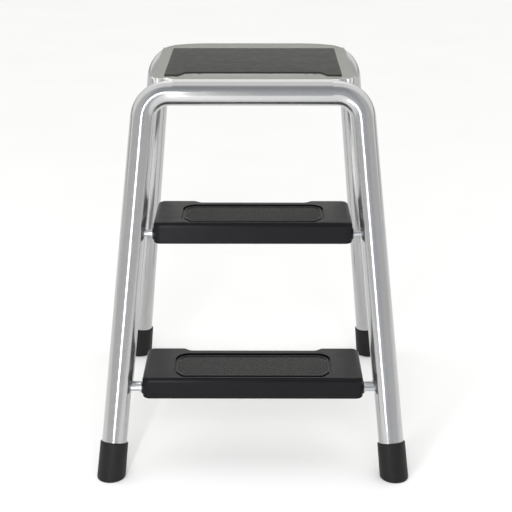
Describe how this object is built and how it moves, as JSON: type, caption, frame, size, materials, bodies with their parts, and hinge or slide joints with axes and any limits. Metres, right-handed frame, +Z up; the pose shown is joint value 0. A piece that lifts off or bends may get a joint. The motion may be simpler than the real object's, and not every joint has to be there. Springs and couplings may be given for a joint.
{
  "type": "step stool",
  "caption": "Folding step stool: silver bent-tube frames, two black ribbed-grip plastic treads and a sheet-steel deck with a black mat, on rubber feet; the treads fold with the deck.",
  "frame": {"origin": "on the floor, under the middle of the stool's box", "axes": "+X to the right of a person who climbs it, -Y the side it is climbed from, +Z up"},
  "size_m": [0.475, 0.5283, 0.5814],
  "materials": {
    "silver_tube": "silver powder coat, satin",
    "silver_sheet": "silver powder coat, satin",
    "zinc_steel": "zinc plated",
    "black_plastic": "fine spark texture",
    "grip_pad": "moulded grip pattern",
    "black_mat": "matt sheet rubber",
    "black_rubber": "moulded",
    "black_nylon": "moulded"
  },
  "bodies": {
    "front_frame": {"front_frame_tube": "silver_tube", "front_foot_left": "black_rubber", "front_foot_right": "black_rubber", "upper_step_rod": "zinc_steel", "lower_step_rod": "zinc_steel", "upper_rod_clips": "zinc_steel", "lower_rod_clips": "zinc_steel", "front_stay_tabs": "silver_tube", "front_stay_pins": "zinc_steel"},
    "deck": {"deck_plate": "silver_sheet", "deck_mat": "black_mat", "deck_stiffener": "silver_sheet", "front_hinge_straps": "zinc_steel", "rear_hinge_straps": "zinc_steel", "strap_rivets": "zinc_steel", "deck_coupler_pins": "zinc_steel"},
    "rear_frame": {"rear_frame_tube": "silver_tube", "rear_foot_left": "black_rubber", "rear_foot_right": "black_rubber", "rear_stay_tabs": "silver_tube", "rear_stay_pins": "zinc_steel"},
    "upper_tread": {"upper_tread_shell": "black_plastic", "upper_tread_pad": "grip_pad", "upper_tread_bushes": "black_nylon", "upper_link_rod": "zinc_steel", "upper_link_nuts": "zinc_steel"},
    "lower_tread": {"lower_tread_shell": "black_plastic", "lower_tread_pad": "grip_pad", "lower_tread_bushes": "black_nylon", "lower_link_rod": "zinc_steel", "lower_link_nuts": "zinc_steel"},
    "left_coupler": {"coupler_bar_left": "zinc_steel"},
    "right_coupler": {"coupler_bar_right": "zinc_steel"},
    "left_stay": {"stay_left": "zinc_steel"},
    "right_stay": {"stay_right": "zinc_steel"}
  },
  "joints": [
    {"name": "deck_fold", "type": "hinge", "parent": "front_frame", "child": "deck", "pos_m": [0, -0.07576, 0.5585], "axis": [1, 0, 0], "range_deg": [0, 60]},
    {"name": "upper_tread_fold", "type": "hinge", "parent": "front_frame", "child": "upper_tread", "pos_m": [0, -0.1358, 0.3558], "axis": [1, 0, 0], "range_deg": [0, 60]},
    {"name": "lower_tread_fold", "type": "hinge", "parent": "front_frame", "child": "lower_tread", "pos_m": [0, -0.20245, 0.1308], "axis": [1, 0, 0], "range_deg": [0, 60]},
    {"name": "left_coupler_turn", "type": "hinge", "parent": "deck", "child": "left_coupler", "pos_m": [0, -0.02686, 0.54402], "axis": [1, 0, 0], "range_deg": [-60, 0]},
    {"name": "right_coupler_turn", "type": "hinge", "parent": "deck", "child": "right_coupler", "pos_m": [0, -0.02686, 0.54402], "axis": [1, 0, 0], "range_deg": [-60, 0]},
    {"name": "rear_frame_fold", "type": "hinge", "parent": "deck", "child": "rear_frame", "pos_m": [0, 0.24224, 0.5585], "axis": [1, 0, 0], "range_deg": [-76.5, 0]},
    {"name": "left_stay_turn", "type": "hinge", "parent": "front_frame", "child": "left_stay", "pos_m": [0, -0.09965, 0.40392], "axis": [1, 0, 0], "range_deg": [0, 69.66]},
    {"name": "right_stay_turn", "type": "hinge", "parent": "front_frame", "child": "right_stay", "pos_m": [0, -0.09965, 0.40392], "axis": [1, 0, 0], "range_deg": [0, 69.66]}
  ],
  "couplings": [
    {"joint": "upper_tread_fold", "follows": "deck_fold", "ratio": 1},
    {"joint": "lower_tread_fold", "follows": "deck_fold", "ratio": 1},
    {"joint": "left_coupler_turn", "follows": "deck_fold", "ratio": -1},
    {"joint": "right_coupler_turn", "follows": "deck_fold", "ratio": -1},
    {"joint": "rear_frame_fold", "follows": "deck_fold", "ratio": -1.275},
    {"joint": "left_stay_turn", "follows": "deck_fold", "ratio": 1.161},
    {"joint": "right_stay_turn", "follows": "deck_fold", "ratio": 1.161}
  ]
}
